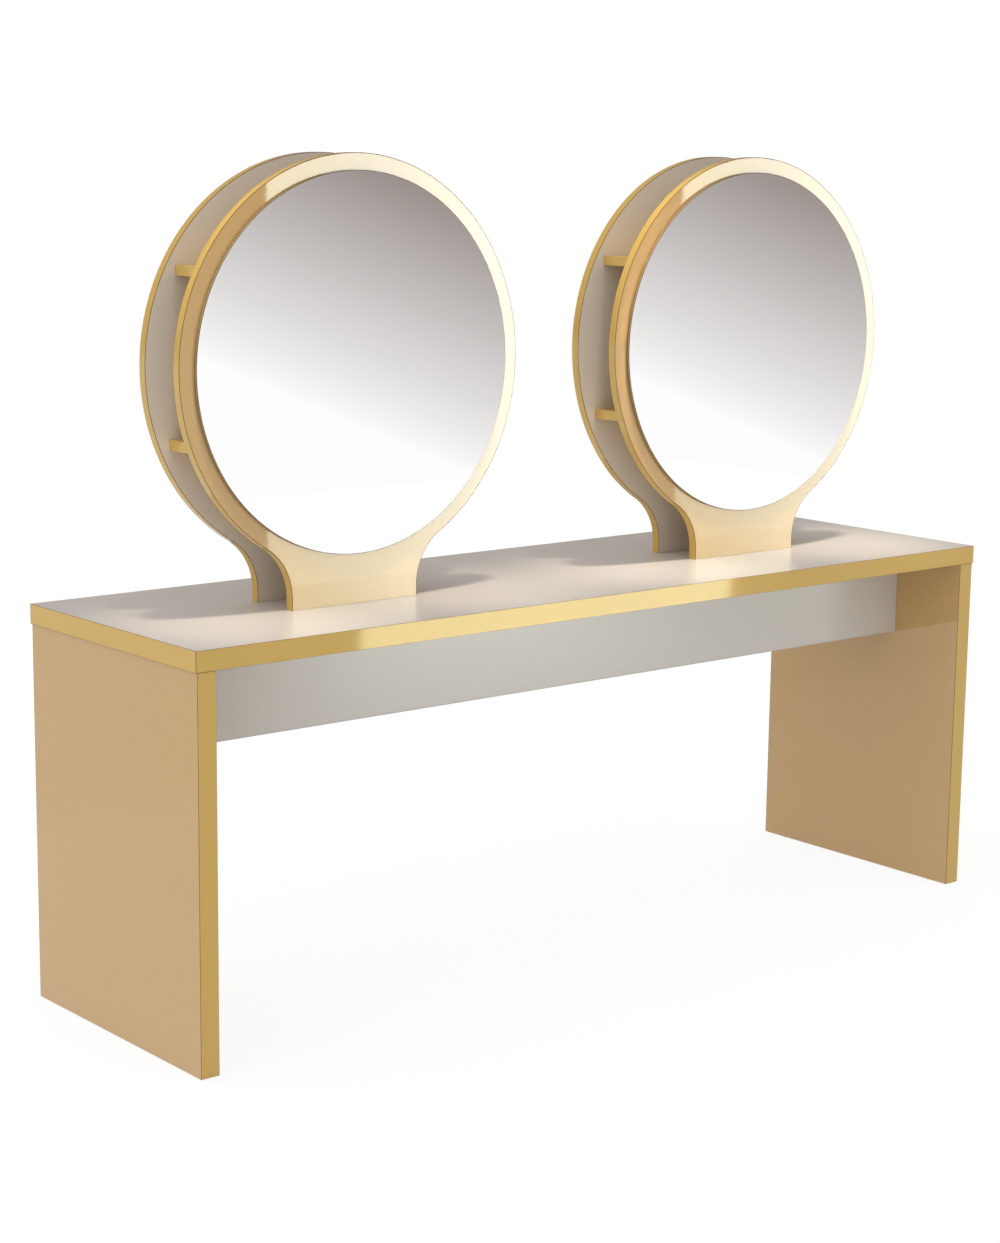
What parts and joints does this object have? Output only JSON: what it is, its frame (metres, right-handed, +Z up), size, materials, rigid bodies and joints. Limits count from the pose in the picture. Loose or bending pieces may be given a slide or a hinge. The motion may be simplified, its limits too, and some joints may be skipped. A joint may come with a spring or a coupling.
{
  "type": "double sided salon station",
  "caption": "Long panel-leg table for a salon, carrying round mirrors on keyhole-shaped boards back to back, so that clients sit on both long sides; the legs stand on levelling feet.",
  "frame": {"origin": "on the floor, under the middle of the table", "axes": "+X along the table to its right end, -Y towards the front side, +Z up"},
  "size_m": [2, 0.56, 1.5853],
  "materials": {
    "white_board": "grey-white melamine, satin",
    "white_band": "grey-white edge band, satin",
    "gold_board": "champagne gold laminate on both faces, gloss",
    "gold_laminate": "champagne gold, gloss",
    "gold_band": "yellow gold edge band, gloss",
    "mirror_glass": "silvered, with a polished edge",
    "tape": "foam adhesive tape, matte",
    "zinc_steel": "bright zinc plate",
    "foot_plastic": "moulded, matte"
  },
  "bodies": {
    "station": {"table_top": "white_board", "top_band_front": "gold_band", "top_band_back": "gold_band", "top_band_left": "gold_band", "top_band_right": "gold_band", "leg_left": "gold_board", "leg_right": "gold_board", "leg_band_left_front": "gold_band", "leg_band_left_back": "gold_band", "leg_band_right_front": "gold_band", "leg_band_right_back": "gold_band", "apron_front": "white_board", "apron_back": "white_board", "apron_band_front": "white_band", "apron_band_back": "white_band", "corner_bracket_left_front": "zinc_steel", "corner_bracket_left_back": "zinc_steel", "corner_bracket_right_front": "zinc_steel", "corner_bracket_right_back": "zinc_steel", "mirror_board_left_front": "white_board", "mirror_board_left_back": "white_board", "mirror_board_right_front": "white_board", "mirror_board_right_back": "white_board", "mirror_face_left_front": "gold_laminate", "mirror_face_left_back": "gold_laminate", "mirror_face_right_front": "gold_laminate", "mirror_face_right_back": "gold_laminate", "mirror_band_left_front": "gold_band", "mirror_band_left_back": "gold_band", "mirror_band_right_front": "gold_band", "mirror_band_right_back": "gold_band", "mirror_tape_left_front": "tape", "mirror_tape_left_back": "tape", "mirror_tape_right_front": "tape", "mirror_tape_right_back": "tape", "mirror_glass_left_front": "mirror_glass", "mirror_glass_left_back": "mirror_glass", "mirror_glass_right_front": "mirror_glass", "mirror_glass_right_back": "mirror_glass", "mirror_bolt_left_front_1": "zinc_steel", "mirror_bolt_left_front_2": "zinc_steel", "mirror_bolt_left_back_1": "zinc_steel", "mirror_bolt_left_back_2": "zinc_steel", "mirror_bolt_right_front_1": "zinc_steel", "mirror_bolt_right_front_2": "zinc_steel", "mirror_bolt_right_back_1": "zinc_steel", "mirror_bolt_right_back_2": "zinc_steel", "cross_board_left_upper": "gold_board", "cross_board_left_lower": "gold_board", "cross_board_right_upper": "gold_board", "cross_board_right_lower": "gold_board"},
    "pad_left_front": {"foot_pad_left_front": "foot_plastic"},
    "pad_left_back": {"foot_pad_left_back": "foot_plastic"},
    "pad_right_front": {"foot_pad_right_front": "foot_plastic"},
    "pad_right_back": {"foot_pad_right_back": "foot_plastic"},
    "stud_left_front": {"foot_stud_left_front": "zinc_steel"},
    "stud_left_back": {"foot_stud_left_back": "zinc_steel"},
    "stud_right_front": {"foot_stud_right_front": "zinc_steel"},
    "stud_right_back": {"foot_stud_right_back": "zinc_steel"}
  },
  "joints": [
    {"name": "foot_lift_left_front", "type": "slide", "parent": "station", "child": "pad_left_front", "axis": [0, 0, -1], "range_m": [0, 0.01]},
    {"name": "foot_lift_left_back", "type": "slide", "parent": "station", "child": "pad_left_back", "axis": [0, 0, -1], "range_m": [0, 0.01]},
    {"name": "foot_lift_right_front", "type": "slide", "parent": "station", "child": "pad_right_front", "axis": [0, 0, -1], "range_m": [0, 0.01]},
    {"name": "foot_lift_right_back", "type": "slide", "parent": "station", "child": "pad_right_back", "axis": [0, 0, -1], "range_m": [0, 0.01]},
    {"name": "foot_turn_left_front", "type": "hinge", "parent": "pad_left_front", "child": "stud_left_front", "pos_m": [-0.9782, -0.22, 0], "axis": [0, 0, -1], "range_deg": [0, 2880]},
    {"name": "foot_turn_left_back", "type": "hinge", "parent": "pad_left_back", "child": "stud_left_back", "pos_m": [-0.9782, 0.22, 0], "axis": [0, 0, -1], "range_deg": [0, 2880]},
    {"name": "foot_turn_right_front", "type": "hinge", "parent": "pad_right_front", "child": "stud_right_front", "pos_m": [0.9782, -0.22, 0], "axis": [0, 0, -1], "range_deg": [0, 2880]},
    {"name": "foot_turn_right_back", "type": "hinge", "parent": "pad_right_back", "child": "stud_right_back", "pos_m": [0.9782, 0.22, 0], "axis": [0, 0, -1], "range_deg": [0, 2880]}
  ],
  "couplings": [
    {"joint": "foot_turn_left_front", "follows": "foot_lift_left_front", "rad_per_m": 5026.5},
    {"joint": "foot_turn_left_back", "follows": "foot_lift_left_back", "rad_per_m": 5026.5},
    {"joint": "foot_turn_right_front", "follows": "foot_lift_right_front", "rad_per_m": 5026.5},
    {"joint": "foot_turn_right_back", "follows": "foot_lift_right_back", "rad_per_m": 5026.5}
  ]
}
